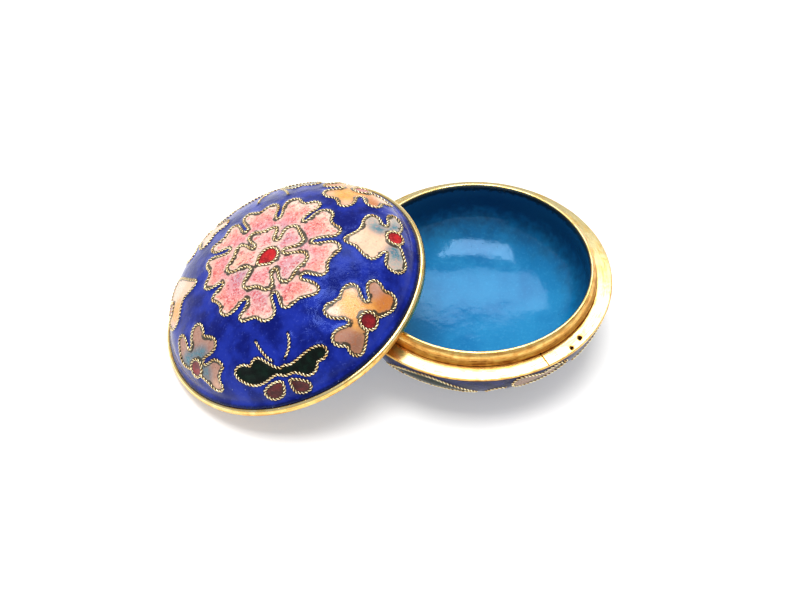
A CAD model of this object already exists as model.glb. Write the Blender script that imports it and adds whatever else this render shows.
import math

import bpy
import numpy as np
from mathutils import Matrix, Vector, kdtree, noise
from mathutils.geometry import delaunay_2d_cdt


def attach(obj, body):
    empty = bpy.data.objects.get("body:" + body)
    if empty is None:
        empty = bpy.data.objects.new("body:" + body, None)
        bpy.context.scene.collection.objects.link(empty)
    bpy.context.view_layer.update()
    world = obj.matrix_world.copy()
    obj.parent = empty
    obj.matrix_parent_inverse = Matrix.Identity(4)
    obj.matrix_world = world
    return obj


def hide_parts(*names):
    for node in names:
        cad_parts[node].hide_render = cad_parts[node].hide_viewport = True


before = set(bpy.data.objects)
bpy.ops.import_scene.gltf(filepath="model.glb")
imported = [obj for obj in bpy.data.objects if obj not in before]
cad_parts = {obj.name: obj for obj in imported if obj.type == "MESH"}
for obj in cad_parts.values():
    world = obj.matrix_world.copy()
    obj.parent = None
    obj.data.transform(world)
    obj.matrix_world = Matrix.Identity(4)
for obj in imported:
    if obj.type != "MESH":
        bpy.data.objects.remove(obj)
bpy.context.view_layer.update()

# A round cloisonne pill box: the bowl stands at the origin, and its lid leans on it.
# Sizes are in millimetres, as in the CAD source, and become metres where a mesh is made.
MM = 0.001

# ---- bowl: heights above the table, radii, and half-axes of its outside ----
RIM_RADIUS = 22.5
RIM_Z = 11.0
RIM_EDGE_Z = 11.45
SEAT_INNER_Z = 11.7
LIP_OUTER = 19.9
LIP_INNER = 18.8
LIP_TOP_Z = 14.2
BOWL_GROUND = (22.2, 12.4)
LINING_FLOOR = 1.6
LINED_LIP_TOP = 13.9
LINED_LIP_RADIUS = 18.5

# ---- lid, in its own frame: z = 0 is the face that rests on the seat ----
LID_RADIUS = 23.4
LID_BORE = 20.1
LID_RING_EDGE = 0.85
LID_RING_TOP = 1.15
LID_RING_BEVEL = 0.3
LID_GROUND = (22.1, 10.4)
LID_LINING = (20.75, 9.05)

# ---- where the lid lies ----
LEAN_ANGLE = math.radians(21.8)
LEAN_HEADING = math.radians(188.4)
LID_X = -30.1
LID_Y = -2.1
LID_CLEARANCE = 0.03

# ---- wires and cells ----
WIRE = 0.56              # width of a wire, as in the CAD source
PROUD = 0.2              # how far a wire stands above its shell
TWIST = 1.25             # length of one full turn of a wire's two strands
HEART_RADIUS = 1.4
BORDER_RADIUS = 17.0
FIRST_LEAF = -112        # headings in degrees, each repeated every quarter turn
FIRST_BLOSSOM = -67
BOWL_MOTIF_Z = 8.2
ENAMEL = 0.4             # thickness of an enamel filling
LINING = 0.2             # thickness of a lining's mesh
AT_WIRE = 0.04           # height of an enamel filling where it meets its wire
SINK = 0.11              # how far it dips between its wires
MENISCUS = 0.5           # how far from a wire it climbs it
HIGHEST = 0.1            # the most it stands above its shell, but for the skirt
SKIRT = 0.7              # how far the lid's enamel has flowed out over its ring
SKIRT_HEIGHT = 1.2       # where that starts, as arc length from the rim
RIM_GAP = 0.05           # arc length between a shell's rim and its ground enamel
ROUND_STEP = 0.3         # point spacing on plain circles

# ---- outlines of the bent wires, as in the CAD source; a flower's is (middle of its heart, outline) ----
PEONY_OUTER = [
    (8.2, 0.5), (8.2, 1.3), (9.8, 1.5), (11.5, 1.5), (12.4, 2.3), (12.3, 3.4), (11.4, 4.2), (10.9, 5.3),
    (11.1, 6.7), (10.5, 7.8), (9.3, 8.1), (8.2, 7.5), (7.2, 6.3), (6.5, 5.9), (6.2, 6.5), (7.1, 7.7),
    (8.4, 8.8), (8.7, 10.0), (7.7, 10.8), (6.2, 10.7), (5.4, 11.4), (4.8, 12.4), (3.7, 12.8), (2.7, 12.2),
    (2.3, 10.9), (2.3, 9.3), (2.0, 8.2), (1.4, 8.2), (1.2, 9.3), (1.4, 10.8), (1.0, 12.1), (0.0, 12.6),
    (-1.0, 12.1), (-1.9, 11.4), (-3.0, 11.7), (-4.2, 12.1), (-5.1, 11.4), (-5.0, 10.2), (-4.4, 8.9),
    (-3.8, 7.8), (-4.1, 7.2), (-4.8, 7.6), (-5.4, 8.8), (-6.1, 9.9), (-7.2, 10.1), (-8.0, 9.2),
    (-8.4, 8.1), (-9.4, 7.5), (-10.6, 7.0), (-10.8, 6.0), (-10.0, 5.1), (-8.7, 4.8), (-7.2, 4.7),
    (-6.8, 4.1), (-7.5, 3.6), (-8.8, 3.7), (-10.2, 4.1), (-11.3, 3.6), (-11.4, 2.4), (-10.8, 1.3),
    (-10.7, 0.2), (-11.3, -0.8), (-11.5, -1.9), (-10.6, -2.6), (-9.3, -2.6), (-8.1, -2.4), (-7.7, -2.9),
    (-8.4, -3.5), (-9.5, -4.2), (-9.9, -5.1), (-9.0, -5.9), (-8.3, -6.9), (-8.3, -8.0), (-7.5, -8.9),
    (-6.3, -9.0), (-5.2, -8.5), (-4.3, -7.7), (-3.4, -7.4), (-3.1, -8.1), (-3.9, -9.2), (-4.8, -10.2),
    (-4.2, -11.1), (-2.9, -11.1), (-1.8, -11.2), (-0.8, -12.0), (0.4, -12.1), (1.3, -11.5), (1.5, -10.3),
    (1.2, -9.0), (1.2, -8.0), (1.8, -7.7), (2.2, -8.3), (2.4, -9.4), (2.8, -10.5), (3.8, -10.8),
    (4.9, -10.2), (5.9, -9.6), (7.2, -9.5), (8.5, -9.2), (8.9, -8.3), (8.2, -7.3), (7.2, -6.7),
    (6.3, -6.3), (6.2, -5.6), (7.0, -5.3), (8.2, -5.8), (9.5, -6.1), (10.4, -5.4), (10.5, -4.2),
    (10.9, -3.1), (11.8, -2.2), (12.5, -1.3), (12.2, -0.2), (11.2, 0.4), (9.7, 0.4),
]
PEONY_INNER = [
    (3.2, -0.4), (3.3, 0.3), (4.5, 0.5), (5.8, 0.7), (6.6, 1.5), (6.3, 2.6), (5.8, 3.7), (5.4, 4.8),
    (4.4, 5.3), (3.4, 4.9), (2.8, 3.9), (2.3, 2.9), (1.7, 2.8), (1.4, 3.5), (1.7, 4.6), (1.7, 5.7),
    (0.8, 6.0), (-0.3, 5.7), (-1.4, 5.8), (-2.6, 6.0), (-3.3, 5.2), (-2.9, 4.1), (-2.1, 3.2),
    (-2.0, 2.4), (-2.8, 2.6), (-3.6, 3.5), (-4.7, 4.1), (-5.6, 3.4), (-5.7, 2.3), (-6.4, 1.2),
    (-7.1, 0.3), (-6.8, -0.8), (-5.7, -1.2), (-4.5, -1.0), (-3.3, -1.1), (-2.5, -1.8), (-2.9, -2.8),
    (-3.6, -3.8), (-3.8, -4.9), (-3.0, -5.6), (-1.8, -5.6), (-0.8, -6.1), (0.1, -6.8), (1.1, -6.7),
    (1.4, -5.7), (1.2, -4.5), (1.4, -3.5), (1.9, -3.2), (2.3, -3.9), (2.5, -5.2), (3.3, -6.1),
    (4.4, -6.0), (5.0, -5.1), (5.7, -4.1), (6.8, -3.2), (7.3, -2.2), (6.8, -1.2), (5.6, -0.8), (4.3, -0.7),
]
PEONY_HEART = [
    (2.3, -0.3), (2.0, 0.8), (1.0, 1.4), (-0.1, 1.2), (-0.9, 0.4), (-1.3, -0.8), (-1.2, -1.5),
    (-0.4, -1.7), (0.7, -1.9), (1.8, -1.4),
]
FLOWER_ROUND = ((0.3, -4.4), [
    (1.9, -5.3), (3.2, -5.8), (4.8, -6.0), (6.0, -5.4), (6.3, -4.3), (5.9, -3.2), (6.3, -2.1),
    (6.2, -1.0), (5.2, -0.5), (4.2, -1.0), (3.4, -1.9), (2.7, -2.4), (2.4, -1.7), (3.0, -0.6),
    (3.6, 0.6), (3.1, 1.7), (1.8, 2.0), (0.5, 1.6), (-0.7, 1.8), (-1.8, 2.4), (-2.9, 2.0), (-3.2, 0.9),
    (-2.7, -0.3), (-1.9, -1.3), (-1.9, -2.2), (-2.7, -2.2), (-3.7, -1.6), (-4.9, -1.4), (-5.9, -2.1),
    (-5.8, -3.2), (-5.1, -4.2), (-5.4, -5.3), (-5.0, -6.2), (-4.0, -6.6), (-2.8, -6.2), (-1.7, -5.6),
    (0.2, -4.6),
])
FLOWER_SOUTHWEST = ((-0.5, -4.2), [
    (1.4, -5.0), (2.8, -5.3), (4.2, -5.7), (5.5, -5.4), (5.9, -4.6), (5.2, -3.8), (5.0, -2.7),
    (5.2, -1.5), (4.2, -1.0), (3.0, -1.2), (2.2, -2.1), (1.4, -2.8), (0.9, -2.4), (1.0, -1.7),
    (1.7, -0.9), (2.3, 0.2), (2.1, 1.3), (1.2, 1.8), (0.0, 1.6), (-1.0, 1.3), (-1.8, 2.0),
    (-2.8, 2.5), (-3.8, 2.1), (-4.2, 0.9), (-3.7, -0.3), (-3.0, -1.4), (-3.1, -2.1), (-3.8, -2.0),
    (-4.7, -1.3), (-5.9, -0.8), (-6.8, -1.1), (-6.9, -2.1), (-6.1, -3.4), (-5.2, -4.6), (-4.0, -5.1),
    (-2.4, -5.0), (-0.5, -4.4),
])
FLOWER_TIPPED = ((1.9, -4.0), [
    (3.7, -4.9), (5.2, -5.3), (6.6, -5.0), (7.5, -4.3), (7.4, -3.3), (6.4, -2.8), (5.2, -2.9),
    (4.2, -2.6), (4.7, -1.9), (5.9, -1.4), (6.5, -0.4), (6.1, 0.6), (5.0, 1.2), (3.7, 1.5), (2.6, 2.1),
    (1.8, 3.1), (1.1, 4.1), (0.4, 4.2), (-0.2, 3.5), (-0.8, 2.5), (-1.7, 1.8), (-2.8, 0.9), (-3.3, -0.2),
    (-2.6, -1.3), (-1.7, -2.0), (-1.8, -2.6), (-2.8, -2.4), (-3.9, -2.4), (-4.8, -3.2), (-5.0, -4.3),
    (-4.4, -5.3), (-3.2, -5.8), (-1.8, -5.5), (-0.4, -5.1), (1.8, -4.0),
])
FLOWER_WEST = ((-0.4, -4.3), [
    (1.3, -4.9), (2.7, -4.7), (3.9, -3.9), (4.4, -2.7), (4.2, -1.6), (3.3, -0.8), (2.3, -0.4), (1.3, 0.0),
    (0.5, 0.7), (0.2, 1.7), (-0.1, 2.8), (-0.7, 3.7), (-1.6, 3.5), (-2.6, 2.1), (-3.7, 0.8), (-4.9, -0.6),
    (-5.7, -1.9), (-5.5, -3.3), (-4.6, -4.4), (-3.4, -5.0), (-2.1, -4.9), (-0.4, -4.3),
])
BUTTERFLY_WINGS = [
    (2.0, -4.0), (2.9, -3.95), (3.8, -4.35), (4.7, -4.8), (5.8, -4.6), (6.5, -3.9), (6.9, -3.1),
    (7.9, -2.8), (8.6, -2.0), (8.5, -1.2), (7.7, -0.75), (6.4, -0.9), (5.0, -1.5), (3.6, -2.2),
    (2.5, -2.6), (1.6, -2.5), (0.9, -2.75), (0.2, -2.5), (-0.5, -1.95), (-1.2, -1.3), (-2.0, -0.6),
    (-2.8, -0.3), (-3.5, -0.6), (-4.1, -1.2), (-5.2, -0.8), (-6.3, -0.85), (-7.0, -1.5), (-6.8, -2.5),
    (-6.0, -3.3), (-5.2, -3.9), (-3.9, -4.4), (-2.4, -4.35), (-1.2, -3.95), (-0.2, -3.65), (0.6, -3.8),
    (1.3, -4.1),
]
BUTTERFLY_TAILS = [
    [(0.35, -4.75), (-0.9, -4.7), (-2.2, -5.1), (-2.9, -5.7), (-2.8, -6.4), (-2.1, -6.95), (-1.1, -7.05),
     (-0.1, -6.75), (0.4, -6.1), (0.6, -5.3)],
    [(1.85, -4.8), (1.75, -5.6), (1.8, -6.3), (2.1, -6.8), (2.9, -7.1), (3.9, -7.0), (4.55, -6.5),
     (4.5, -5.8), (3.7, -5.3), (2.7, -4.95)],
]
BUTTERFLY_FEELERS = [
    [(-2.4, 2.4), (-1.8, 0.9), (-1.0, -0.5), (-0.1, -1.5)],
    [(3.2, 2.4), (3.2, 1.0), (2.8, -0.3), (2.0, -1.5)],
]
BOWL_LEAF = [
    (7.3, -2.5), (6.2, -1.0), (4.3, 0.4), (2.1, 1.5), (-0.1, 2.0), (-2.3, 1.8), (-4.5, 1.2), (-6.5, 0.1),
    (-7.9, -1.5), (-6.9, -2.6), (-4.6, -3.0), (-1.8, -3.4), (1.4, -3.6), (4.6, -3.4),
]
BOWL_BLOSSOM = [
    (6.3, 1.2), (4.6, 1.9), (2.9, 1.8), (1.6, 1.5), (0.4, 1.8), (-0.8, 2.1), (-2.0, 2.2), (-3.0, 1.8),
    (-3.5, 0.8), (-3.2, -0.3), (-2.2, -1.1), (-0.8, -1.0), (0.8, -0.8), (2.2, -0.4), (3.6, 0.0), (5.0, 0.5),
]
BOWL_TENDRIL = [(-7.3, -2.4), (-6.8, -1.2), (-5.5, -0.4), (-4.2, -0.4)]


# ---- meshes ----
def lid_frame():
    """Where the lid lies, from its own frame to the table's."""
    height = LID_RADIUS * math.sin(LEAN_ANGLE) + LID_CLEARANCE
    heading = Matrix.Rotation(LEAN_HEADING, 4, "Z")
    lean = heading @ Matrix.Rotation(LEAN_ANGLE, 4, "Y") @ heading.inverted()
    return Matrix.Translation((LID_X, LID_Y, height)) @ lean


BODY_FRAMES = {"bowl": Matrix.Identity(4), "lid": lid_frame()}


def add_object(name, data):
    made = bpy.data.objects.new(name, data)
    bpy.context.scene.collection.objects.link(made)
    return made


def make_piece(name, body, points, faces, material, slot, node, values):
    """A smooth mesh piece from points in its body's own frame, with values kept on its points."""
    place = np.array(BODY_FRAMES[body])
    world = (np.asarray(points) @ place[:3, :3].T + place[:3, 3]) * MM
    mesh = bpy.data.meshes.new(name)
    mesh.from_pydata(world.tolist(), [], [list(face) for face in faces])
    mesh.polygons.foreach_set("use_smooth", [True] * len(mesh.polygons))
    for label, value in values.items():
        kind, field = ("FLOAT", "value") if value.ndim == 1 else ("FLOAT_VECTOR", "vector")
        mesh.attributes.new(label, kind, "POINT").data.foreach_set(field, value.ravel())
    mesh.materials.append(material)
    mesh.update()
    piece = add_object(name, mesh)
    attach(piece, body)
    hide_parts(node)
    return piece


def thicken(piece, thickness):
    """Depth behind a surface's face, in millimetres."""
    solid = piece.modifiers.new("thickness", "SOLIDIFY")
    solid.thickness, solid.offset = thickness * MM, -1


def unit(vectors):
    return vectors / np.linalg.norm(vectors, axis=1)[:, None]


def running_length(steps):
    return np.concatenate([[0], np.cumsum(steps)])


def turned(radius, heading, z):
    return np.stack([radius * np.cos(heading), radius * np.sin(heading), z], 1)


def ripple(points, size, seed):
    """Smooth noise from about -1 to 1 at each point, with waves of a size in millimetres."""
    shift = Vector((seed * 7.3, seed * 3.1, seed * 5.7))
    return np.array([noise.noise(Vector(p) / size + shift) for p in points])


# ---- curves ----
def smooth_line(points, closed, step):
    """Even points, a step apart, on a smooth curve through hand-chosen ones."""
    points = np.asarray(points, float)
    if closed:
        ends = np.vstack([points[-1:], points, points[:2]])
    else:
        ends = np.vstack([2 * points[0] - points[1], points, 2 * points[-1] - points[-2]])
    t = np.linspace(0, 1, 12, endpoint=False)[:, None]
    spans = []
    for a, b, c, d in zip(ends, ends[1:], ends[2:], ends[3:]):
        spans.append(0.5 * (2 * b + (c - a) * t + (2 * a - 5 * b + 4 * c - d) * t**2
                            + (3 * b - a - 3 * c + d) * t**3))
    dense = np.vstack([*spans, ends[-2:-1]])
    return even_line(dense, step)


def even_line(dense, step):
    """The same line with its points evenly spaced; a closed line keeps its last point."""
    length = running_length(np.linalg.norm(np.diff(dense, axis=0), axis=1))
    count = max(8, round(length[-1] / step))
    at = np.linspace(0, length[-1], count + 1)
    return np.stack([np.interp(at, length, dense[:, k]) for k in range(dense.shape[1])], 1)


def circle(centre, radius, step):
    count = max(12, round(2 * math.pi * radius / step))
    angle = np.linspace(0, 2 * math.pi, count + 1)
    return np.stack([centre[0] + radius * np.cos(angle), centre[1] + radius * np.sin(angle)], 1)


def inside(points, loop):
    """Which of many flat points lie inside one closed loop."""
    x, y = points[:, 0], points[:, 1]
    odd = np.zeros(len(points), bool)
    box = (x > loop[:, 0].min()) & (x < loop[:, 0].max()) & (y > loop[:, 1].min()) & (y < loop[:, 1].max())
    x, y = x[box], y[box]
    flips = np.zeros(len(x), bool)
    for (x1, y1), (x2, y2) in zip(loop, loop[1:]):
        if y1 != y2:
            flips ^= ((y1 > y) != (y2 > y)) & (x < (x2 - x1) * (y - y1) / (y2 - y1) + x1)
    odd[box] = flips
    return odd


# ---- the two enamelled outsides ----
class Shell:
    """Half an ellipsoid of revolution, unrolled to a flat map: arc length from its pole, and heading."""

    def __init__(self, body, size, rim_z, up):
        self.body, self.rim_z, self.up = body, rim_z, up
        self.a, self.b = size
        self.angle = np.linspace(0, math.pi / 2, 2001)
        slope = np.hypot(self.a * np.cos(self.angle), self.b * np.sin(self.angle))
        self.arc = running_length((slope[1:] + slope[:-1]) / 2 * np.diff(self.angle))

    def normals(self, points):
        x, y, z = points.T
        return unit(np.stack([x / self.a**2, y / self.a**2, (z - self.rim_z) / self.b**2], 1))

    def point(self, flat):
        """Points on the surface from points on the map."""
        heading = np.arctan2(flat[:, 1], flat[:, 0])
        angle = np.interp(np.hypot(flat[:, 0], flat[:, 1]), self.arc, self.angle)
        height = self.rim_z + self.up * self.b * np.cos(angle)
        return turned(self.a * np.sin(angle), heading, height)

    def unroll(self, points):
        """Points on the map from points on the surface."""
        x, y, z = points.T
        radius, heading = np.hypot(x, y), np.arctan2(y, x)
        arc = np.interp(np.arctan2(radius / self.a, abs(z - self.rim_z) / self.b), self.angle, self.arc)
        return np.stack([arc * np.cos(heading), arc * np.sin(heading)], 1)

    def arc_at(self, z):
        """Arc length from the pole down or up to a height."""
        return np.interp(math.acos(abs(z - self.rim_z) / self.b), self.angle, self.arc)


class Motif:
    """A flat drawing plane that touches a shell; its y axis points up the slope."""

    def __init__(self, shell, origin, heading):
        self.shell, self.origin = shell, np.array(origin, float)
        self.normal = shell.normals(self.origin[None])[0]
        self.across = np.array([-math.sin(heading), math.cos(heading), 0.0])
        self.along = np.cross(self.normal, self.across)

    def project(self, drawing):
        """Points of a drawing carried square to the plane on to the shell."""
        drawing = np.asarray(drawing, float)
        points = self.origin + drawing[:, :1] * self.across + drawing[:, 1:2] * self.along
        scale = np.array([1 / self.shell.a, 1 / self.shell.a, 1 / self.shell.b])
        start = (points - (0, 0, self.shell.rim_z)) * scale
        ray = self.normal * scale
        half, reach = start @ ray / (ray @ ray), ((start**2).sum(1) - 1) / (ray @ ray)
        return points + (np.sqrt(half**2 - reach) - half)[:, None] * self.normal

    def to_map(self, drawing):
        return self.shell.unroll(self.project(drawing))

    def drawing(self, points):
        """Drawing points from points on the shell."""
        offset = points - self.origin
        return np.stack([offset @ self.across, offset @ self.along], 1)


LID_SHELL = Shell("lid", LID_GROUND, LID_RING_TOP, 1)
BOWL_SHELL = Shell("bowl", BOWL_GROUND, RIM_Z, -1)


def border_motif(heading):
    a, b = LID_GROUND
    angle = math.radians(heading)
    rise = b * math.sqrt(1 - (BORDER_RADIUS / a) ** 2)
    place = (BORDER_RADIUS * math.cos(angle), BORDER_RADIUS * math.sin(angle), LID_RING_TOP + rise)
    return Motif(LID_SHELL, place, angle)


def bowl_motif(heading):
    a, b = BOWL_GROUND
    angle = math.radians(heading)
    radius = a * math.sqrt(1 - ((BOWL_MOTIF_Z - RIM_Z) / b) ** 2)
    return Motif(BOWL_SHELL, (radius * math.cos(angle), radius * math.sin(angle), BOWL_MOTIF_Z), angle)


def top_motif():
    return Motif(LID_SHELL, (0, 0, LID_RING_TOP + LID_GROUND[1]), -math.pi / 2)


# ---- twisted wires ----
STRAND = 0.135           # radius of one strand
HELIX = 0.115            # how far a strand's middle is from the wire's middle
WIRE_STEP = 0.1          # length between a strand's cross-sections
STRAND_SIDES = 8


def rope(line, normals, closed):
    """Points, faces and crest values of two strands twisted about a line on a surface."""
    count = len(line) - 1 if closed else len(line)
    line, normals = line[:count], normals[:count]
    if closed:
        ahead = np.roll(line, -1, 0) - np.roll(line, 1, 0)
        length = np.linalg.norm(np.diff(np.vstack([line, line[:1]]), axis=0), axis=1).sum()
        turns = max(1, round(length / TWIST))
        phase = np.arange(count) / count * turns * 2 * math.pi
    else:
        ahead = np.gradient(line, axis=0)
        length = np.linalg.norm(np.diff(line, axis=0), axis=1).sum()
        phase = np.linspace(0, length / TWIST * 2 * math.pi, count)
    side = unit(np.cross(unit(ahead), normals))
    centre = line + normals * (PROUD - STRAND - HELIX)
    points, crests, faces = [], [], []
    sides = np.arange(STRAND_SIDES) * 2 * math.pi / STRAND_SIDES
    for strand in (0, math.pi):
        turn = (phase + strand)[:, None]
        middle = HELIX * (np.cos(turn) * normals + np.sin(turn) * side)
        round_it = (np.cos(sides)[None, :, None] * normals[:, None]
                    + np.sin(sides)[None, :, None] * side[:, None]) * STRAND
        if not closed:
            taper = np.minimum(1, np.minimum(np.arange(count), np.arange(count)[::-1]) / 2)
            round_it = round_it * taper[:, None, None]
        offset = middle[:, None] + round_it
        first = len(points) * count * STRAND_SIDES
        points.append((centre[:, None] + offset).reshape(-1, 3))
        crests.append(np.linalg.norm(offset, axis=2).ravel() / (HELIX + STRAND))
        ring = first + np.arange(count)[:, None] * STRAND_SIDES + np.arange(STRAND_SIDES)
        after = np.roll(ring, -1, 0)
        rows = slice(0, count if closed else count - 1)
        quads = np.stack([ring, np.roll(ring, -1, 1), np.roll(after, -1, 1), after], 2)[rows]
        faces.append(quads.reshape(-1, 4))
    return np.vstack(points), np.vstack(faces), np.concatenate(crests)


def make_wire(name, shell, lines, node):
    """One piece of twisted wires along lines on the shell's map; each line is (points, closed)."""
    points, faces, crests, total = [], [], [], 0
    for line, closed in lines:
        surface = even_line(shell.point(line), WIRE_STEP)
        if closed:
            surface[-1] = surface[0]
        got, quads, crest = rope(surface, shell.normals(surface), closed)
        points.append(got)
        faces.append(quads + total)
        crests.append(crest)
        total += len(got)
    make_piece(name, shell.body, np.vstack(points), np.vstack(faces), GILT_WIRE, "gilt_wire", node,
               {"crest": np.concatenate(crests)})


# ---- enamel ----
def honeycomb(low, high, step):
    """Staggered points that fill a rectangle."""
    xs = np.arange(low[0], high[0], step)
    ys = np.arange(low[1], high[1], step * math.sqrt(3) / 2)
    x, y = np.meshgrid(xs, ys)
    x[1::2] += step / 2
    return np.stack([x.ravel(), y.ravel()], 1)


def search_tree(points):
    tree = kdtree.KDTree(len(points))
    for i, point in enumerate(points):
        tree.insert((*point, 0)[:3], i)
    tree.balance()
    return tree


def fill_cell(outer, holes, step):
    """Triangles of the flat region inside the outer loops and outside the holes."""
    def covered(points):
        hit = np.zeros(len(points), bool)
        for loop in outer:
            hit |= inside(points, loop)
        for loop in holes:
            hit &= ~inside(points, loop)
        return hit

    loops = [even_line(loop, 0.25) for loop in [*outer, *holes]]
    edge = np.vstack([loop[:-1] for loop in loops])
    near = search_tree(edge)
    grid = honeycomb(edge.min(0), edge.max(0), step)
    grid = grid[covered(grid)]
    grid = np.array([p for p in grid if near.find((*p, 0))[2] > step / 2]).reshape(-1, 2)
    edges, first = [], 0
    for loop in loops:
        count = len(loop) - 1
        edges += [(first + i, first + (i + 1) % count) for i in range(count)]
        first += count
    corners = [Vector(p) for p in np.vstack([edge, grid])]
    verts, _, faces, *_ = delaunay_2d_cdt(corners, edges, [], 0, 1e-6)
    verts, faces = np.array(verts), np.array(faces)
    faces = faces[covered(verts[faces].mean(1))]
    used, faces = np.unique(faces, return_inverse=True)
    return verts[used], faces.reshape(-1, 3)


def make_enamel(name, shell, outer, holes, wires, material, slot, node, step,
                paint=None, seed=0.0, skirt=0.0):
    """A fused enamel filling that dips between its wires, with its painted tint on its points.

    A skirt is how far the enamel has flowed out over the ring at the shell's rim."""
    flat, faces = fill_cell(outer, holes, step)
    near = search_tree(np.vstack([shell.point(line) for line in wires]))
    surface = shell.point(flat)
    reach = np.array([near.find(p)[2] for p in surface])
    height = AT_WIRE - SINK * (1 - np.exp(-((reach / MENISCUS) ** 2)))
    height += 0.035 * ripple(surface, 3.2, seed) + 0.012 * ripple(surface, 1.1, seed + 1)
    height = np.minimum(height, HIGHEST)
    from_rim = shell.arc[-1] - np.linalg.norm(flat, axis=1)
    height += skirt * np.clip(1 - from_rim / SKIRT_HEIGHT, 0, 1) ** 2
    normals = shell.normals(surface)
    values = {"reach": reach}
    if paint:
        values["tint"] = paint(surface)
    if shell.up < 0:
        faces = faces[:, ::-1]
    piece = make_piece(name, shell.body, surface + normals * height[:, None], faces, material, slot,
                       node, values)
    thicken(piece, ENAMEL)


# ---- materials ----
def linear(red, green, blue):
    """A colour as light from the usual 0 to 255 values."""
    part = np.array([red, green, blue]) / 255
    return np.where(part <= 0.04045, part / 12.92, ((part + 0.055) / 1.055) ** 2.4)


def rgba(red, green, blue):
    return (*linear(red, green, blue), 1.0)


class Shader:
    """A node material built around one Principled shader."""

    def __init__(self, name, **sockets):
        self.material = bpy.data.materials.new(name)
        self.material.use_nodes = True
        self.nodes, self.links = self.material.node_tree.nodes, self.material.node_tree.links
        self.surface = self.nodes["Principled BSDF"]
        for socket, value in sockets.items():
            self.surface.inputs[socket.replace("_", " ")].default_value = value

    def node(self, kind, sockets=None, **settings):
        """A node whose sockets take a value or another node's output."""
        made = self.nodes.new("ShaderNode" + kind)
        for setting, value in settings.items():
            setattr(made, setting, value)
        for socket, value in (sockets or {}).items():
            if isinstance(value, bpy.types.NodeSocket):
                self.links.new(value, made.inputs[socket])
            else:
                made.inputs[socket].default_value = value
        return made

    def place(self):
        """Place on the object in millimetres."""
        spot = self.node("TexCoord").outputs["Object"]
        return self.node("VectorMath", {0: spot, 3: 1 / MM}, operation="SCALE").outputs[0]

    def value(self, name, output="Fac"):
        """A value kept on the mesh's points."""
        return self.node("Attribute", attribute_name=name).outputs[output]

    def noise(self, at, size, detail=2.0, roughness=0.5):
        """Noise with features of a size, from 0 to 1."""
        sockets = {"Vector": at, "Scale": 1 / size, "Detail": detail, "Roughness": roughness}
        return self.node("TexNoise", sockets).outputs["Fac"]

    def specks(self, at, size, low, high):
        """Scattered specks: 1 within low of the middle of a cell, 0 beyond high, in cell sizes."""
        cell = self.node("TexVoronoi", {"Vector": at, "Scale": 1 / size})
        return self.fade(cell.outputs["Distance"], low, high, 1, 0)

    def some_cells(self, at, size, low, high):
        """1 in the cells whose random grey is above high, 0 in those below low."""
        cell = self.node("TexVoronoi", {"Vector": at, "Scale": 1 / size})
        grey = self.node("SeparateColor", {"Color": cell.outputs["Color"]}).outputs["Red"]
        return self.fade(grey, low, high)

    def fade(self, value, low, high, start=0.0, end=1.0):
        """A smooth step from start to end as the value goes from low to high."""
        sockets = {"Value": value, "From Min": low, "From Max": high, "To Min": start, "To Max": end}
        return self.node("MapRange", sockets, interpolation_type="SMOOTHSTEP").outputs["Result"]

    def maths(self, operation, first, second):
        return self.node("Math", {0: first, 1: second}, operation=operation).outputs[0]

    def add(self, first, second):
        return self.maths("ADD", first, second)

    def times(self, first, second):
        return self.maths("MULTIPLY", first, second)

    def mix(self, factor, first, second):
        """Two colours mixed; each is a socket or (red, green, blue) from 0 to 255."""
        made = self.node("Mix", {0: factor}, data_type="RGBA")
        for socket, colour in ((made.inputs[6], first), (made.inputs[7], second)):
            if isinstance(colour, bpy.types.NodeSocket):
                self.links.new(colour, socket)
            else:
                socket.default_value = rgba(*colour)
        return made.outputs[2]

    def set(self, socket, value):
        self.links.new(value, self.surface.inputs[socket])

    def bump(self, height, depth):
        """Relief finer than the mesh; depth is in millimetres."""
        sockets = {"Height": height, "Distance": depth * MM, "Strength": 1.0}
        self.set("Normal", self.node("Bump", sockets).outputs["Normal"])


def cobalt_enamel(name, dark, light, glint, gleam):
    """Deep blue enamel; glint is how strongly it reflects, and gleam is the reflection's colour."""
    made = Shader(name, IOR=1.5, Specular_IOR_Level=glint, Specular_Tint=rgba(*gleam))
    at = made.place()
    cloud = made.noise(at, 3.5, 3)
    grain = made.noise(at, 0.45, 4, 0.6)
    colour = made.mix(made.fade(cloud, 0.35, 0.65), dark, light)
    colour = made.mix(made.fade(grain, 0.56, 0.75, 0, 0.5), colour, made.mix(0.3, light, (110, 130, 220)))
    edge = made.add(made.value("reach"), made.times(grain, 0.25))
    colour = made.mix(made.fade(edge, 0.3, 0.62, 0.85, 0), colour, (6, 8, 38))
    pits = made.specks(at, 1.7, 0.03, 0.06)
    colour = made.mix(made.times(pits, 0.7), colour, (150, 170, 220))
    made.set("Base Color", colour)
    made.set("Roughness", made.fade(grain, 0.3, 0.8, 0.1, 0.24))
    made.bump(made.add(made.noise(at, 1.3, 4, 0.55), made.times(pits, -0.4)), 0.07)
    return made.material


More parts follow.
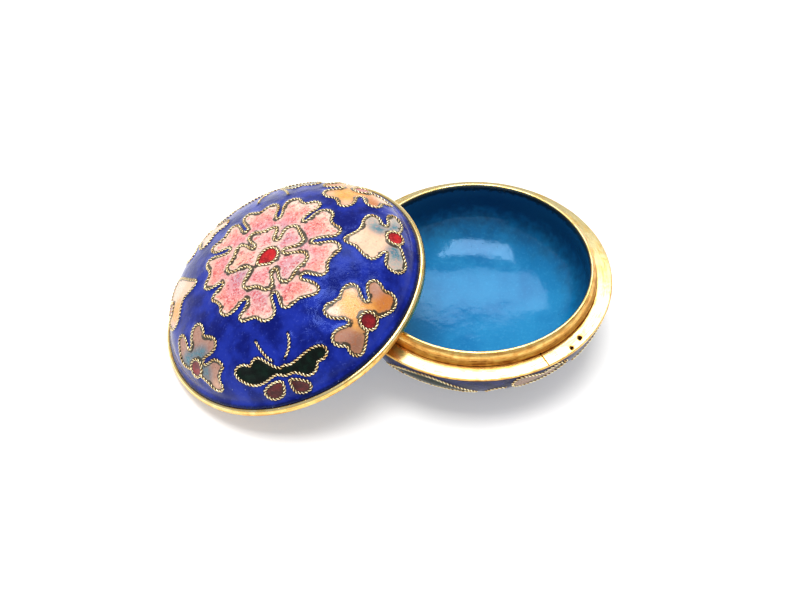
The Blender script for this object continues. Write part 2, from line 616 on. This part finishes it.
def painted_enamel(name, blotch, blush, rim, rim_share, frost, gloss=0.2):
    """Speckled enamel over the tint painted on the mesh, with another tone along its wires.

    blush is how strong the blotches in its middle are, and frost how strong its pale grain is."""
    made = Shader(name, Coat_Weight=gloss, Coat_Roughness=0.06, IOR=1.5, Specular_IOR_Level=0.3)
    at = made.place()
    grain, cloud = made.noise(at, 0.42, 4, 0.75), made.noise(at, 1.1, 4, 0.65)
    tint = made.value("tint", "Color")
    edge = made.add(made.value("reach"), made.fade(cloud, 0.3, 0.7, -0.25, 0.25))
    colour = made.mix(made.fade(edge, 0.3, 1.05, rim_share, 0), tint, rim)
    red = made.times(made.fade(grain, 0.45, 0.56), made.fade(cloud, 0.42, 0.55))
    colour = made.mix(made.times(red, made.fade(edge, 0.45, 1.1, 0.1, blush)), colour, blotch)
    pale = made.fade(made.noise(at, 0.34, 4, 0.75), 0.53, 0.63, 0, frost)
    colour = made.mix(pale, colour, (255, 246, 240))
    dark = made.times(made.specks(at, 0.6, 0.12, 0.36), made.some_cells(at, 0.6, 0.6, 0.68))
    colour = made.mix(made.times(dark, 0.7 * blush), colour, (140, 40, 60))
    pits = made.times(made.specks(at, 0.75, 0.07, 0.13), made.some_cells(at, 0.75, 0.66, 0.7))
    colour = made.mix(made.times(pits, 0.8), colour, (70, 36, 34))
    soot = made.fade(made.noise(at, 1.7, 3), 0.48, 0.62, 0.06, -0.26)
    rim_line = made.add(made.value("reach"), soot)
    colour = made.mix(made.fade(rim_line, 0.32, 0.54, 0.94, 0), colour, (42, 42, 30))
    made.set("Base Color", colour)
    made.set("Roughness", made.fade(grain, 0.3, 0.8, 0.2, 0.4))
    made.bump(made.maths("SUBTRACT", grain, pits), 0.04)
    return made.material


def plain_enamel(name, dark, light, spot=None, gloss=0.3, gleam=(255, 255, 255)):
    """Glassy enamel of one mottled colour, darker where it meets its wire.

    gloss is how strongly it reflects, and gleam is the reflection's colour."""
    made = Shader(name, Coat_Weight=gloss, Coat_Roughness=0.05, IOR=1.5, Specular_IOR_Level=gloss,
                  Specular_Tint=rgba(*gleam))
    at = made.place()
    grain, cloud = made.noise(at, 0.3, 3, 0.6), made.noise(at, 1.2, 3)
    colour = made.mix(made.fade(cloud, 0.35, 0.65), dark, light)
    if spot:
        colour = made.mix(made.fade(grain, 0.55, 0.7, 0, 0.4), colour, spot)
    edge = made.add(made.value("reach"), made.times(grain, 0.2))
    colour = made.mix(made.fade(edge, 0.33, 0.6, 0.8, 0), colour, (22, 14, 10))
    made.set("Base Color", colour)
    made.set("Roughness", made.fade(grain, 0.3, 0.8, 0.12, 0.3))
    made.bump(grain, 0.03)
    return made.material


def lining_enamel():
    """Turquoise enamel, thin and dark where it climbs to the gilt edge."""
    made = Shader("turquoise_enamel", IOR=1.5, Specular_IOR_Level=0.5, Specular_Tint=rgba(170, 215, 255))
    at = made.place()
    cloud, grain = made.noise(at, 6.0, 4), made.noise(at, 0.5, 4, 0.6)
    colour = made.mix(made.fade(cloud, 0.3, 0.7), (14, 116, 176), (34, 138, 194))
    colour = made.mix(made.fade(grain, 0.5, 0.75, 0, 0.4), colour, (56, 162, 212))
    climb = made.add(made.value("climb"), made.fade(made.noise(at, 1.5, 3), 0.2, 0.8, -0.05, 0.05))
    colour = made.mix(made.fade(climb, 0.52, 0.86, 0, 0.92), colour, (12, 44, 82))
    edge = made.add(made.value("climb"), made.fade(made.noise(at, 0.8, 3), 0.3, 0.7, -0.008, 0.008))
    colour = made.mix(made.fade(edge, 0.962, 0.978), colour, (8, 14, 20))
    specks = made.specks(at, 1.3, 0.04, 0.08)
    colour = made.mix(made.times(specks, 0.5), colour, (6, 50, 96))
    made.set("Base Color", colour)
    made.set("Roughness", made.fade(grain, 0.3, 0.8, 0.1, 0.2))
    made.bump(made.add(made.noise(at, 1.0, 3), made.times(specks, -0.5)), 0.03)
    return made.material


def gilt_wire():
    """Gilt on the crests of the twist, dark patina between them."""
    made = Shader("gilt_wire", Metallic=0.85)
    at = made.place()
    wear = made.add(made.value("crest"), made.fade(made.noise(at, 0.7, 3), 0.25, 0.75, -0.14, 0.14))
    wear = made.add(wear, made.fade(made.noise(at, 3.0, 2), 0.35, 0.65, -0.1, 0.08))
    colour = made.mix(made.fade(wear, 0.56, 0.7), (18, 12, 8), (224, 168, 82))
    colour = made.mix(made.fade(wear, 0.72, 0.9), colour, (255, 242, 196))
    made.set("Base Color", colour)
    made.set("Roughness", made.fade(wear, 0.6, 0.95, 0.55, 0.24))
    made.bump(made.noise(at, 0.12, 2), 0.01)
    return made.material


def gilt_brass():
    """Turned and hand-rubbed gilt: streaks run around the ring, and hollows keep a brown tarnish."""
    made = Shader("gilt_brass", Metallic=1.0)
    around, at = made.value("around", "Vector"), made.place()
    streak, patch = made.noise(around, 1.0, 5, 0.7), made.noise(at, 1.6, 4, 0.6)
    tarnish = made.add(made.value("tarnish"), made.fade(streak, 0.32, 0.68, -0.2, 0.2))
    tarnish = made.add(tarnish, made.fade(patch, 0.35, 0.65, -0.1, 0.14))
    colour = made.mix(made.fade(tarnish, 0.0, 0.25), (252, 232, 172), (246, 208, 122))
    colour = made.mix(made.fade(tarnish, 0.3, 0.52), colour, (222, 164, 84))
    colour = made.mix(made.fade(tarnish, 0.55, 0.85), colour, (136, 76, 32))
    colour = made.mix(made.fade(tarnish, 0.95, 1.2), colour, (30, 18, 10))
    made.set("Base Color", colour)
    made.set("Roughness", made.fade(tarnish, 0.0, 0.9, 0.24, 0.42))
    made.bump(made.add(streak, made.times(made.noise(at, 0.25, 3), 0.4)), 0.012)
    return made.material


def copper():
    made = Shader("copper", Metallic=1.0)
    at = made.place()
    made.set("Base Color", made.mix(made.noise(at, 2.0, 4), (150, 78, 48), (206, 128, 88)))
    made.set("Roughness", made.fade(made.noise(at, 0.4, 3), 0.3, 0.7, 0.3, 0.5))
    return made.material


COBALT = cobalt_enamel("cobalt_enamel", (9, 19, 106), (28, 46, 156), 0.45, (130, 160, 255))
DULL_COBALT = cobalt_enamel("bowl_cobalt_enamel", (10, 14, 46), (28, 34, 88), 0.3, (160, 160, 165))
TURQUOISE = lining_enamel()
PINK = painted_enamel("pink_enamel", (206, 62, 68), 0.85, (240, 202, 180), 0.8, 0.5)
PEACHY = painted_enamel("peach_enamel", (232, 156, 132), 0.4, (240, 198, 166), 0.5, 0.08)
AMBER = painted_enamel("amber_enamel", (176, 92, 40), 0.35, (186, 128, 92), 0.6, 0.06)
TAUPE = painted_enamel("taupe_enamel", (140, 84, 66), 0.5, (168, 122, 100), 0.4, 0.12)
RED = plain_enamel("red_enamel", (150, 8, 18), (204, 26, 34), (226, 84, 70))
GARNET = plain_enamel("garnet_enamel", (104, 6, 16), (150, 18, 30), (176, 60, 60))
DARK_RED = plain_enamel("dark_red_enamel", (64, 12, 16), (98, 22, 26), (126, 60, 58), gloss=0.2)
DARK_GREEN = plain_enamel("dark_green_enamel", (2, 11, 8), (5, 28, 20), gloss=0.14)
GREEN = plain_enamel("green_enamel", (4, 18, 10), (12, 38, 22), (30, 62, 38), 0.05, (90, 130, 100))
GILT_WIRE = gilt_wire()
GILT_BRASS = gilt_brass()
COPPER = copper()


# ---- painting ----
def painter(motif, anchors):
    """A tint for each surface point: the anchors' colours, each spread around its drawing point."""
    places = np.array([anchor[:2] for anchor in anchors], float)
    spreads = np.array([anchor[2] for anchor in anchors], float)
    colours = np.array([linear(*anchor[3]) for anchor in anchors])

    def paint(surface):
        drawing = motif.drawing(surface)
        gap = np.linalg.norm(drawing[:, None] - places, axis=2)
        share = np.exp(-((gap / spreads) ** 2)) + 1e-9
        return share @ colours / share.sum(1)[:, None]
    return paint


# ---- lid: peony ----
def closed_wire(motif, outline):
    return motif.to_map(smooth_line(outline, True, WIRE_STEP))


def make_peony():
    top = top_motif()
    outer, inner, heart = (closed_wire(top, outline) for outline in (PEONY_OUTER, PEONY_INNER, PEONY_HEART))
    for name, loop in (("peony_outer_wire", outer), ("peony_inner_wire", inner), ("peony_heart_wire", heart)):
        make_wire(name + "_twist", LID_SHELL, [(loop, True)], name)
    make_enamel("peony_outer_enamel", LID_SHELL, [outer], [inner], [outer, inner], PINK, "pink_enamel",
                "peony_outer_petals", 0.3, painter(top, PEONY_OUTER_PAINT), 1)
    make_enamel("peony_inner_enamel", LID_SHELL, [inner], [heart], [inner, heart], PINK, "pink_enamel",
                "peony_inner_petals", 0.3, painter(top, PEONY_INNER_PAINT), 2)
    make_enamel("peony_heart_enamel", LID_SHELL, [heart], [], [heart], RED, "red_enamel",
                "peony_heart", 0.25, seed=3)
    return [outer], [outer]


# ---- lid: border ----
def make_flower(name, heading, shape, paint, material, slot, seed, heart_material=RED):
    """A border flower; its outline's wire stops where the heart's wire goes round."""
    motif, (heart, outline) = border_motif(heading), shape
    drawn = smooth_line(outline, True, WIRE_STEP)
    loop = motif.to_map(drawn)
    ring = motif.to_map(circle(heart, HEART_RADIUS, WIRE_STEP))
    make_wire(f"flower_{name}_twist", LID_SHELL, [*cut_line(drawn, loop, heart), (ring, True)],
              f"flower_{name}_wire")
    make_enamel(f"flower_{name}_enamel", LID_SHELL, [loop], [ring], [loop, ring], material, slot,
                f"flower_{name}_petals", 0.28, painter(motif, paint), seed)
    make_enamel(f"flower_{name}_heart_enamel", LID_SHELL, [ring], [], [ring], heart_material, "red_enamel",
                f"flower_{name}_heart", 0.25, seed=seed + 0.5)
    return [loop, ring], [loop, ring]


SHORTEST_RUN = 5         # a stretch of wire with fewer points is left out


def cut_line(drawn, mapped, heart):
    """The stretches of a closed line that lie outside a heart, as open lines, or the whole line."""
    out = np.linalg.norm(drawn[:-1] - heart, axis=1) > HEART_RADIUS - WIRE / 4
    if out.all():
        return [(mapped, True)]
    start = int(np.argmin(out))
    out, mapped = np.roll(out, -start), np.roll(mapped[:-1], -start, 0)
    breaks = np.flatnonzero(np.diff(out)) + 1
    return [(run, False) for keep, run in zip(np.split(out, breaks), np.split(mapped, breaks))
            if keep[0] and len(run) > SHORTEST_RUN]


def make_butterfly(name, heading, seed):
    motif = border_motif(heading)
    wings = closed_wire(motif, BUTTERFLY_WINGS)
    tails = [closed_wire(motif, tail) for tail in BUTTERFLY_TAILS]
    feelers = [motif.to_map(smooth_line(feeler, False, WIRE_STEP)) for feeler in BUTTERFLY_FEELERS]
    make_wire(f"butterfly_{name}_wing_twist", LID_SHELL, [(wings, True)], f"butterfly_{name}_wing_wire")
    make_wire(f"butterfly_{name}_tail_twists", LID_SHELL, [(tail, True) for tail in tails],
              f"butterfly_{name}_tail_wires")
    make_wire(f"butterfly_{name}_feeler_twists", LID_SHELL, [(feeler, False) for feeler in feelers],
              f"butterfly_{name}_feelers")
    make_enamel(f"butterfly_{name}_wing_enamel", LID_SHELL, [wings], [], [wings], DARK_GREEN,
                "dark_green_enamel", f"butterfly_{name}_wings", 0.28, seed=seed)
    make_enamel(f"butterfly_{name}_tail_enamel", LID_SHELL, tails, [], tails, DARK_RED,
                "dark_red_enamel", f"butterfly_{name}_tails", 0.28, seed=seed + 0.5)
    return [wings, *tails], [wings, *tails, *feelers]


# ---- turned rings and spun linings ----
AROUND = 22.0 / 5        # brushing streaks are about 5 mm long on a ring of 22 mm radius ...
ACROSS = 0.3             # ... and 0.3 mm apart across it
FULL_TURN = 720          # cross-sections around a ring
PROFILE_STEP = 0.16      # spacing of the points across a ring
WEAR = 0.035             # most that rubbing has taken off a ring
SEAM = 0.07              # half-width of a cut seam
DENT_TARNISH = 2.5       # how much darker a dent and a seam are than the metal round them
SEAM_TARNISH = 0.7


def rounded(corners):
    """Closed profile of (radius, z, tarnish) from corners that also give their rounding."""
    made = []
    for i, (radius, z, rounding, tarnish) in enumerate(corners):
        here = np.array([radius, z])
        before, after = (np.array(corners[(i + k) % len(corners)][:2]) for k in (-1, 1))
        for t in np.linspace(0, 1, 5):
            into = here + (before - here) * min(rounding / np.linalg.norm(before - here), 0.45)
            out = here + (after - here) * min(rounding / np.linalg.norm(after - here), 0.45)
            bend = (1 - t) ** 2 * into + 2 * t * (1 - t) * here + t**2 * out
            made.append((*bend, tarnish))
    made.append(made[0])
    return even_line(np.array(made), PROFILE_STEP)[:-1]


def make_ring(name, body, corners, node, dents=(), seams=(), seed=0.0):
    """A ring turned from a closed profile, with small dents and cut seams in it.

    A dent is (heading, radius, size, depth) and a seam (heading, from radius, to radius, depth)."""
    profile = rounded(corners)
    headings = [np.linspace(0, 360, FULL_TURN, endpoint=False)]
    headings += [np.linspace(spot[0] - 1.5, spot[0] + 1.5, 40) for spot in [*dents, *seams]]
    headings = np.radians(np.unique(np.round(np.concatenate(headings) % 360, 3)))
    radius, z, tarnish = (np.repeat(column[None], len(headings), 0) for column in profile.T)
    ahead = unit(np.roll(profile[:, :2], -1, 0) - np.roll(profile[:, :2], 1, 0))
    outward = np.stack([ahead[:, 1], -ahead[:, 0]], 1)
    turn = np.stack([np.cos(headings), np.sin(headings)], 1)[:, None]
    flat = np.concatenate([radius[..., None] * turn, z[..., None]], 2)
    depth = WEAR * (ripple(flat.reshape(-1, 3), 3.0, seed).reshape(z.shape) * 0.5 + 0.5)
    for heading, at_radius, size, deep in dents:
        centre = (at_radius * math.cos(math.radians(heading)), at_radius * math.sin(math.radians(heading)))
        gap = np.hypot(flat[..., 0] - centre[0], flat[..., 1] - centre[1]) / size
        pit = np.exp(-(gap**2)) * (outward[None, :, 1] > 0.3)
        depth, tarnish = depth + deep * pit, tarnish + DENT_TARNISH * pit
    for heading, low, high, deep in seams:
        gap = np.abs((headings - math.radians(heading) + math.pi) % (2 * math.pi) - math.pi)[:, None] * radius
        cut = np.exp(-((gap / SEAM) ** 2)) * (radius > low) * (radius < high)
        depth, tarnish = depth + deep * cut, tarnish + SEAM_TARNISH * cut
    radius, z = radius - outward[:, 0] * depth, z - outward[:, 1] * depth
    points = np.concatenate([radius[..., None] * turn, z[..., None]], 2)
    rows, columns = z.shape
    index = np.arange(rows * columns).reshape(rows, columns)
    beyond = np.roll(index, -1, 0)
    faces = np.stack([index, beyond, np.roll(beyond, -1, 1), np.roll(index, -1, 1)], 2).reshape(-1, 4)
    lengths = np.broadcast_to(np.arange(columns) * PROFILE_STEP / ACROSS, z.shape)
    streaks = np.concatenate([np.broadcast_to(turn * AROUND, (*z.shape, 2)), lengths[..., None]], 2)
    values = {"around": streaks.reshape(-1, 3), "tarnish": tarnish.ravel()}
    make_piece(name, body, points.reshape(-1, 3), faces, GILT_BRASS, "gilt_brass", node, values)


def make_lining(name, body, profile, node, wavy, seed):
    """A spun enamel lining; its profile runs from the middle out to the gilt edge.

    Its mesh is a flat disc of that profile's length, and wavy is the height of its waves."""
    profile = even_line(smooth_line(profile, False, 0.2), 0.2)
    arc = running_length(np.linalg.norm(np.diff(profile, axis=0), axis=1))
    flat, faces = fill_cell([circle((0, 0), arc[-1], ROUND_STEP)], [], 0.4)
    reach, heading = np.hypot(flat[:, 0], flat[:, 1]), np.arctan2(flat[:, 1], flat[:, 0])
    ahead = unit(np.gradient(profile, axis=0))
    radius, z, ahead_r, ahead_z = (np.interp(reach, arc, column) for column in (*profile.T, *ahead.T))
    side = 1 if profile[-1, 1] > profile[0, 1] else -1
    normals = turned(-ahead_z, heading, ahead_r) * side
    points = turned(radius, heading, z)
    edge_fade = np.clip((arc[-1] - reach) / 2, 0, 1)
    height = wavy * ripple(points, 5.0, seed) + wavy / 4 * ripple(points, 1.6, seed + 1)
    points += normals * (height * edge_fade)[:, None]
    if side < 0:
        faces = faces[:, ::-1]
    piece = make_piece(name, body, points, faces, TURQUOISE, "turquoise_enamel", node,
                       {"climb": reach / arc[-1]})
    thicken(piece, LINING)


# ---- the bowl's outside ----
def make_bowl_outside():
    leaves, blossoms, tendrils = [], [], []
    for quarter in range(4):
        leaves.append(closed_wire(bowl_motif(FIRST_LEAF + 90 * quarter), BOWL_LEAF))
        motif = bowl_motif(FIRST_BLOSSOM + 90 * quarter)
        blossoms.append(closed_wire(motif, BOWL_BLOSSOM))
        tendrils.append(motif.to_map(smooth_line(BOWL_TENDRIL, False, WIRE_STEP)))
    wires = [*leaves, *blossoms, *tendrils]
    make_wire("bowl_leaf_twists", BOWL_SHELL, [(line, True) for line in leaves], "bowl_leaf_wires")
    make_wire("bowl_blossom_twists", BOWL_SHELL, [(line, True) for line in blossoms], "bowl_blossom_wires")
    make_wire("bowl_tendril_twists", BOWL_SHELL, [(line, False) for line in tendrils], "bowl_tendril_wires")
    make_enamel("bowl_leaf_fillings", BOWL_SHELL, leaves, [], leaves, GREEN, "green_enamel",
                "bowl_leaf_enamel", 0.35, seed=20)
    taupe = linear(150, 122, 102)
    make_enamel("bowl_blossom_fillings", BOWL_SHELL, blossoms, [], blossoms, TAUPE, "taupe_enamel",
                "bowl_blossom_enamel", 0.35, lambda surface: np.tile(taupe, (len(surface), 1)), 21)
    rim = circle((0, 0), BOWL_SHELL.arc[-1] - RIM_GAP, ROUND_STEP)
    foot = circle((0, 0), BOWL_SHELL.arc_at(0.0), ROUND_STEP)
    make_enamel("bowl_outside_enamel", BOWL_SHELL, [rim], [foot, *leaves, *blossoms], [rim, *wires],
                DULL_COBALT, "cobalt_enamel", "bowl_ground_enamel", 0.32, seed=22)


# ---- paint: (x, y, spread, colour) on each motif's drawing ----
CREAM, PALE, SALMON, ROSE = (250, 220, 196), (246, 202, 190), (236, 146, 132), (230, 154, 158)
MAUVE, PEACH, ORANGE, YELLOW = (196, 152, 168), (246, 198, 162), (200, 120, 50), (242, 172, 76)
BROWN, DUSK, WHITE, AQUA = (150, 104, 82), (182, 134, 114), (176, 176, 166), (18, 118, 140)


def ring_of(radius, count, spread, colour, start=0):
    angles = [math.radians(start + 360 / count * i) for i in range(count)]
    return [(radius * math.cos(angle), radius * math.sin(angle), spread, colour) for angle in angles]


PEONY_OUTER_PAINT = [
    *ring_of(12.2, 16, 1.5, CREAM), *ring_of(9.6, 14, 1.5, SALMON), *ring_of(7.6, 12, 1.5, ROSE, 15),
    *ring_of(5.8, 10, 1.3, MAUVE), (-1.2, -10.6, 2.0, PALE), (-0.8, -8.4, 1.8, MAUVE),
]
PEONY_INNER_PAINT = [
    *ring_of(6.4, 9, 1.3, PALE), *ring_of(4.2, 8, 1.3, ROSE, 20), *ring_of(2.2, 6, 1.0, PALE),
    (-4.5, 1.0, 1.8, PEACH), (-2.0, 4.6, 1.5, PALE), (3.5, 2.6, 1.8, MAUVE), (4.6, -3.6, 1.8, MAUVE),
]
EAST_PAINT = [
    (0.0, 1.0, 2.6, PEACH), (1.0, 3.6, 1.5, CREAM), (5.0, -0.2, 1.0, WHITE), (3.6, -1.2, 1.1, AQUA),
    (-3.6, -4.2, 1.3, WHITE), (-1.4, -4.0, 1.2, AQUA), (6.2, -4.0, 1.2, WHITE), (4.4, -4.2, 1.2, AQUA),
]
NORTHEAST_PAINT = [
    (0.5, -1.2, 2.2, YELLOW), (3.0, 1.2, 1.2, PEACH), (-2.4, 1.6, 1.2, PEACH), (5.2, -2.0, 1.5, ORANGE),
    (-4.6, -2.6, 1.6, ORANGE), (-4.4, -5.4, 1.2, PEACH), (4.6, -5.0, 1.2, YELLOW),
]
NORTHWEST_PAINT = [
    (0.5, -1.2, 2.2, PEACH), (3.0, 1.2, 1.4, CREAM), (-2.4, 1.6, 1.4, CREAM), (4.8, -3.6, 2.0, DUSK),
    (-4.4, -3.6, 2.0, ORANGE),
]
WEST_PAINT = [
    (-1.2, 2.2, 2.4, PEACH), (-3.6, -0.6, 1.8, CREAM), (1.6, -1.2, 1.4, YELLOW), (3.2, -2.0, 1.2, YELLOW),
    (4.0, -3.4, 1.0, PALE), (-3.6, -4.0, 1.8, PEACH),
]
SOUTHWEST_PAINT = [
    (-1.8, 1.0, 1.8, DUSK), (1.6, 0.6, 1.3, DUSK), (0.0, -1.8, 1.5, AQUA), (4.2, -3.0, 1.8, DUSK),
    (-5.6, -2.2, 1.6, DUSK), (2.2, -3.8, 1.0, AQUA), (-3.2, -3.6, 1.1, AQUA), (5.2, -4.8, 1.0, PEACH),
]
SOUTHEAST_PAINT = [
    (0.4, -1.6, 2.0, YELLOW), (3.0, 1.3, 1.2, PEACH), (-2.2, 1.6, 1.5, CREAM), (0.6, 0.8, 1.2, YELLOW),
    (5.2, -1.8, 1.3, DUSK), (4.6, -4.8, 1.4, ORANGE), (-4.4, -2.6, 1.4, DUSK), (-4.2, -5.2, 1.4, BROWN),
]

# ---- lid ----
loops, lines = make_peony()
flowers = (
    ("east", 0, FLOWER_TIPPED, EAST_PAINT, PEACHY, "peach_enamel", 4),
    ("northeast", 45, FLOWER_ROUND, NORTHEAST_PAINT, AMBER, "orange_enamel", 5),
    ("northwest", 135, FLOWER_ROUND, NORTHWEST_PAINT, AMBER, "orange_enamel", 6),
    ("west", 182, FLOWER_WEST, WEST_PAINT, PEACHY, "peach_enamel", 7),
    ("southwest", -135, FLOWER_SOUTHWEST, SOUTHWEST_PAINT, TAUPE, "taupe_enamel", 8, GARNET),
    ("southeast", -42, FLOWER_ROUND, SOUTHEAST_PAINT, AMBER, "orange_enamel", 9, GARNET),
)
for flower in flowers:
    made_loops, made_lines = make_flower(*flower)
    loops += made_loops
    lines += made_lines
for butterfly in (("south", -90, 12), ("north", 90, 13)):
    made_loops, made_lines = make_butterfly(*butterfly)
    loops += made_loops
    lines += made_lines
edge = circle((0, 0), LID_SHELL.arc[-1] - RIM_GAP, ROUND_STEP)
make_enamel("lid_outside_enamel", LID_SHELL, [edge], loops, [edge, *lines], COBALT, "cobalt_enamel",
            "lid_ground_enamel", 0.28, seed=15, skirt=SKIRT)
make_ring("lid_gilt_ring", "lid", [
    (LID_BORE, 0, 0.1, 0.5), (LID_RADIUS, 0, 0.12, 0.4), (LID_RADIUS, LID_RING_EDGE, 0.12, 0.25),
    (LID_RADIUS - LID_RING_BEVEL, LID_RING_TOP, 0.15, 0.0), (LID_GROUND[0] + 0.72, LID_RING_TOP, 0.05, 0.3),
    (LID_GROUND[0] + 0.5, LID_RING_TOP - 0.1, 0.05, 1.1), (LID_BORE, LID_RING_TOP - 0.1, 0.1, 0.9),
], "lid_rim_ring", seed=30)
make_lining("lid_inside_enamel", "lid", [
    (LID_LINING[0] * math.sin(angle), LID_RING_TOP + LID_LINING[1] * math.cos(angle))
    for angle in np.linspace(0, math.pi / 2, 16)
], "lid_lining_enamel", 0.05, 31)

# ---- bowl ----
make_bowl_outside()
make_ring("bowl_gilt_ring", "bowl", [
    (LIP_INNER, RIM_Z, 0.1, 0.8), (RIM_RADIUS, RIM_Z, 0.1, 0.8), (RIM_RADIUS, RIM_EDGE_Z, 0.15, 0.3),
    (RIM_RADIUS - 0.35, RIM_EDGE_Z + 0.05, 0.2, 0.0), (LIP_OUTER + 0.35, SEAT_INNER_Z - 0.03, 0.1, 0.02),
    (LIP_OUTER + 0.15, SEAT_INNER_Z - 0.03, 0.05, 0.3), (LIP_OUTER + 0.03, SEAT_INNER_Z - 0.05, 0.03, 1.1),
    (LIP_OUTER, SEAT_INNER_Z + 0.12, 0.05, 0.56), (LIP_OUTER - 0.04, LIP_TOP_Z - 1.4, 0.3, 0.5),
    (LIP_OUTER - 0.22, LIP_TOP_Z - 0.6, 0.3, 0.46), (LIP_INNER + 0.45, LIP_TOP_Z - 0.05, 0.1, 0.34),
    (LIP_INNER + 0.25, LIP_TOP_Z, 0.1, 0.05), (LIP_INNER, LIP_TOP_Z - 0.05, 0.1, 0.1),
    (LIP_INNER, LINED_LIP_TOP - 0.15, 0.05, 0.9),
], "bowl_rim_ring", dents=(
    (-40.2, 21.3, 0.3, 0.2), (-41.2, 21.45, 0.2, 0.2), (-47, 21.75, 0.26, 0.2), (-47.8, 21.9, 0.16, 0.1)),
    seams=((-60.7, LIP_OUTER, RIM_RADIUS, 0.12),), seed=32)
make_lining("bowl_inside_enamel", "bowl", [
    (0, LINING_FLOOR), (5.5, 1.75), (9.5, 2.2), (13.0, 3.1), (15.5, 4.3), (17.2, 5.7), (18.25, 7.2),
    (18.7, 8.7), (18.7, 10.1), (LINED_LIP_RADIUS + 0.1, 11.4), (LINED_LIP_RADIUS + 0.06, 12.6),
    (LINED_LIP_RADIUS + 0.2, LINED_LIP_TOP),
], "bowl_lining_enamel", 0.07, 33)

# ---- pieces that stay as the CAD has them ----
for node, material in (("bowl_shell", COPPER), ("lid_shell", COPPER), ("bowl_foot_enamel", COBALT)):
    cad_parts[node].data.materials.clear()
    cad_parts[node].data.materials.append(material)

# ---- floor, light and camera ----
FLOOR_HALF = 3.0         # metres
floor_mesh = bpy.data.meshes.new("floor")
corners = [(x * FLOOR_HALF, y * FLOOR_HALF, 0) for x, y in ((-1, -1), (1, -1), (1, 1), (-1, 1))]
floor_mesh.from_pydata(corners, [], [(0, 1, 2, 3)])
floor = add_object("floor", floor_mesh)
paper = Shader("paper", Roughness=0.9, Emission_Color=rgba(255, 255, 255), Emission_Strength=0.31)
paper.set("Base Color", paper.mix(paper.noise(paper.place(), 40.0, 3), (240, 239, 238), (244, 243, 242)))
floor_mesh.materials.append(paper.material)


def add_light(name, place, aim, size, watts):
    """A soft white lamp; its place, aim and size are in metres."""
    light = bpy.data.lights.new(name, "AREA")
    light.shape, light.size, light.size_y = "RECTANGLE", *size
    light.energy = watts
    lamp = add_object(name, light)
    lamp.location = place
    lamp.rotation_euler = (Vector(place) - Vector(aim)).to_track_quat("Z", "Y").to_euler()


add_light("window", (-0.02, 0.52, 0.86), (-0.01, 0, 0.01), (0.8, 0.4), 3.5)
add_light("ceiling", (-0.02, -0.06, 1.0), (-0.01, 0, 0), (0.6, 0.4), 6.4)

# A pale room, brighter near the horizon than overhead.
world = bpy.data.worlds.new("studio")
world.use_nodes = True
sky, background = world.node_tree, world.node_tree.nodes["Background"]
direction = sky.nodes.new("ShaderNodeTexCoord").outputs["Generated"]
height = sky.nodes.new("ShaderNodeSeparateXYZ")
sky.links.new(direction, height.inputs[0])
glow = sky.nodes.new("ShaderNodeMapRange")
glow.interpolation_type = "SMOOTHSTEP"
for socket, value in (("From Min", 0.1), ("From Max", 0.42), ("To Min", 0.95), ("To Max", 0.45)):
    glow.inputs[socket].default_value = value
sky.links.new(height.outputs["Z"], glow.inputs["Value"])
sky.links.new(glow.outputs["Result"], background.inputs["Strength"])
background.inputs["Color"].default_value = (1, 1, 1, 1)
bpy.context.scene.world = world

CAMERA_PLACE = (-0.01041, -0.20156, 0.22699)
CAMERA_HEADING = math.radians(0.6486)      # turn away from facing straight back
CAMERA_PITCH = math.radians(42.3118)       # rise from facing straight down
CAMERA_ROLL = math.radians(-0.8773)
camera = bpy.data.cameras.new("camera")
camera.lens, camera.sensor_width = 80.1, 36.0
camera.clip_start = 0.01
view = add_object("camera", camera)
turns = ((CAMERA_HEADING, "Z"), (CAMERA_PITCH, "X"), (CAMERA_ROLL, "Z"))
heading, pitch, roll = (Matrix.Rotation(angle, 4, axis) for angle, axis in turns)
view.matrix_world = Matrix.Translation(CAMERA_PLACE) @ heading @ pitch @ roll
bpy.context.scene.camera = view
bpy.context.scene.view_settings.view_transform = "Standard"
